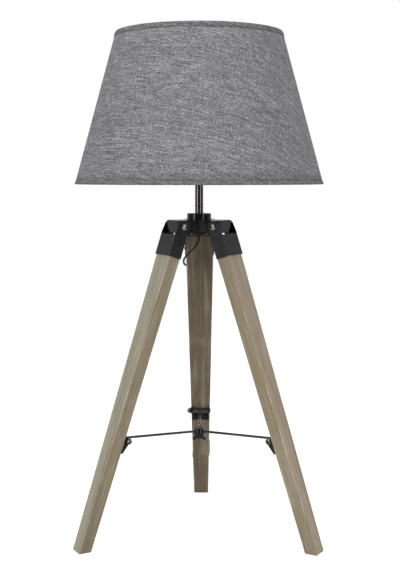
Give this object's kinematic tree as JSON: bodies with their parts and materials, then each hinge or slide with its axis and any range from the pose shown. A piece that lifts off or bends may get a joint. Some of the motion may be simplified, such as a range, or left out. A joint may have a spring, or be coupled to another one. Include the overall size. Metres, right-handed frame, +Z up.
{
  "type": "tripod table lamp",
  "caption": "Tripod table lamp with hinged wooden legs, metal hub, clamped stays, drum shade and a mains lead with an in-line switch.",
  "frame": {"origin": "on the floor, under the axis of the lamp pipe", "axes": "+Z up along the lamp pipe; +Y towards the rear leg, +X to the right seen from the front"},
  "size_m": [0.3, 0.5557, 0.61],
  "materials": {
    "weathered_wood_left": "matte",
    "weathered_wood_right": "matte",
    "weathered_wood_rear": "matte",
    "dark_steel_sheet": "satin",
    "black_cast_metal": "satin",
    "dark_chrome": "polished",
    "screw_steel": "satin",
    "black_plastic": "matte",
    "black_cord": "matte",
    "grey_fabric": "woven",
    "grey_hem": "woven",
    "white_liner": "matte",
    "white_wire": "matte",
    "bulb_glass": "frosted",
    "plug_brass": "satin"
  },
  "bodies": {
    "hub": {"hub_casting": "black_cast_metal", "hub_collar": "black_cast_metal", "lamp_pipe": "dark_chrome", "pipe_nut": "dark_chrome", "cord_bush": "black_plastic", "pivot_screws": "screw_steel", "pivot_nuts": "dark_chrome", "holder_cap": "black_plastic", "holder_body": "black_plastic", "holder_insert": "black_plastic", "holder_contacts": "screw_steel", "inner_lead": "black_cord", "cord_upper": "black_cord"},
    "shade": {"shade_cover": "grey_fabric", "shade_liner": "white_liner", "shade_top_ring": "white_wire", "shade_frame": "white_wire", "shade_hems": "grey_hem"},
    "shade_ring": {"shade_ring": "black_plastic"},
    "bulb": {"bulb_glass": "bulb_glass", "bulb_cap": "screw_steel"},
    "clamp": {"clamp_bolt": "dark_chrome", "clamp_dome_nut": "dark_chrome", "clamp_washers": "dark_chrome"},
    "wing_nut": {"wing_nut": "dark_steel_sheet"},
    "switch_rocker": {"switch_rocker": "black_plastic"},
    "leg_rear": {"leg_rear": "weathered_wood_rear", "sleeve_rear": "dark_steel_sheet", "sleeve_screws_rear": "screw_steel", "bracket_rear": "dark_steel_sheet", "bracket_screws_rear": "screw_steel", "stay_bolt_rear": "dark_chrome", "stay_nut_rear": "dark_chrome", "cord_lower": "black_cord", "cord_middle": "black_cord", "cord_hank": "black_cord", "cord_tail": "black_cord", "cord_tie": "black_plastic", "plug_body": "black_plastic", "plug_pins": "plug_brass", "switch_back_shell": "black_plastic", "switch_front_shell": "black_plastic"},
    "stay_rear": {"stay_rear": "dark_chrome"},
    "leg_left": {"leg_left": "weathered_wood_left", "sleeve_left": "dark_steel_sheet", "sleeve_screws_left": "screw_steel", "bracket_left": "dark_steel_sheet", "bracket_screws_left": "screw_steel", "stay_bolt_left": "dark_chrome", "stay_nut_left": "dark_chrome"},
    "stay_left": {"stay_left": "dark_chrome"},
    "leg_right": {"leg_right": "weathered_wood_right", "sleeve_right": "dark_steel_sheet", "sleeve_screws_right": "screw_steel", "bracket_right": "dark_steel_sheet", "bracket_screws_right": "screw_steel", "stay_bolt_right": "dark_chrome", "stay_nut_right": "dark_chrome"},
    "stay_right": {"stay_right": "dark_chrome"}
  },
  "joints": [
    {"name": "leg_rear_fold", "type": "hinge", "parent": "hub", "child": "leg_rear", "pos_m": [0, 0.03039, 0.38], "axis": [-1, 0, 0], "range_deg": [0, 9]},
    {"name": "leg_left_fold", "type": "hinge", "parent": "hub", "child": "leg_left", "pos_m": [-0.02632, -0.0152, 0.38], "axis": [0.5, -0.866, 0], "range_deg": [0, 9]},
    {"name": "leg_right_fold", "type": "hinge", "parent": "hub", "child": "leg_right", "pos_m": [0.02632, -0.0152, 0.38], "axis": [0.5, 0.866, 0], "range_deg": [0, 9]},
    {"name": "stay_rear_swing", "type": "hinge", "parent": "leg_rear", "child": "stay_rear", "pos_m": [0, 0.10252, 0.12805], "axis": [-1, 0, 0], "range_deg": [0, 72]},
    {"name": "stay_left_swing", "type": "hinge", "parent": "leg_left", "child": "stay_left", "pos_m": [-0.08879, -0.05126, 0.12805], "axis": [0.5, -0.866, 0], "range_deg": [0, 72]},
    {"name": "stay_right_swing", "type": "hinge", "parent": "leg_right", "child": "stay_right", "pos_m": [0.08879, -0.05126, 0.12805], "axis": [0.5, 0.866, 0], "range_deg": [0, 72]},
    {"name": "clamp_draw", "type": "slide", "parent": "hub", "child": "clamp", "axis": [0, 0, -1], "range_m": [0, 0.06]},
    {"name": "wing_nut_turn", "type": "hinge", "parent": "clamp", "child": "wing_nut", "pos_m": [0, 0, 0.117], "axis": [0, 0, 1], "continuous": true},
    {"name": "shade_turn", "type": "hinge", "parent": "hub", "child": "shade", "pos_m": [0, 0, 0.46], "axis": [0, 0, 1], "continuous": true},
    {"name": "shade_ring_turn", "type": "hinge", "parent": "hub", "child": "shade_ring", "pos_m": [0, 0, 0.465], "axis": [0, 0, 1], "continuous": true},
    {"name": "bulb_turn", "type": "hinge", "parent": "hub", "child": "bulb", "pos_m": [0, 0, 0.48], "axis": [0, 0, 1], "continuous": true},
    {"name": "switch_rock", "type": "hinge", "parent": "leg_rear", "child": "switch_rocker", "pos_m": [0.0048, 0.209, 0.013], "axis": [0, 0, 1], "range_deg": [-8, 8]}
  ],
  "couplings": [
    {"joint": "stay_rear_swing", "follows": "leg_rear_fold", "ratio": 8},
    {"joint": "stay_left_swing", "follows": "leg_rear_fold", "ratio": 8},
    {"joint": "stay_right_swing", "follows": "leg_rear_fold", "ratio": 8},
    {"joint": "leg_left_fold", "follows": "leg_rear_fold", "ratio": 1},
    {"joint": "leg_right_fold", "follows": "leg_rear_fold", "ratio": 1},
    {"joint": "clamp_draw", "follows": "leg_rear_fold", "m_per_rad": 0.38}
  ]
}
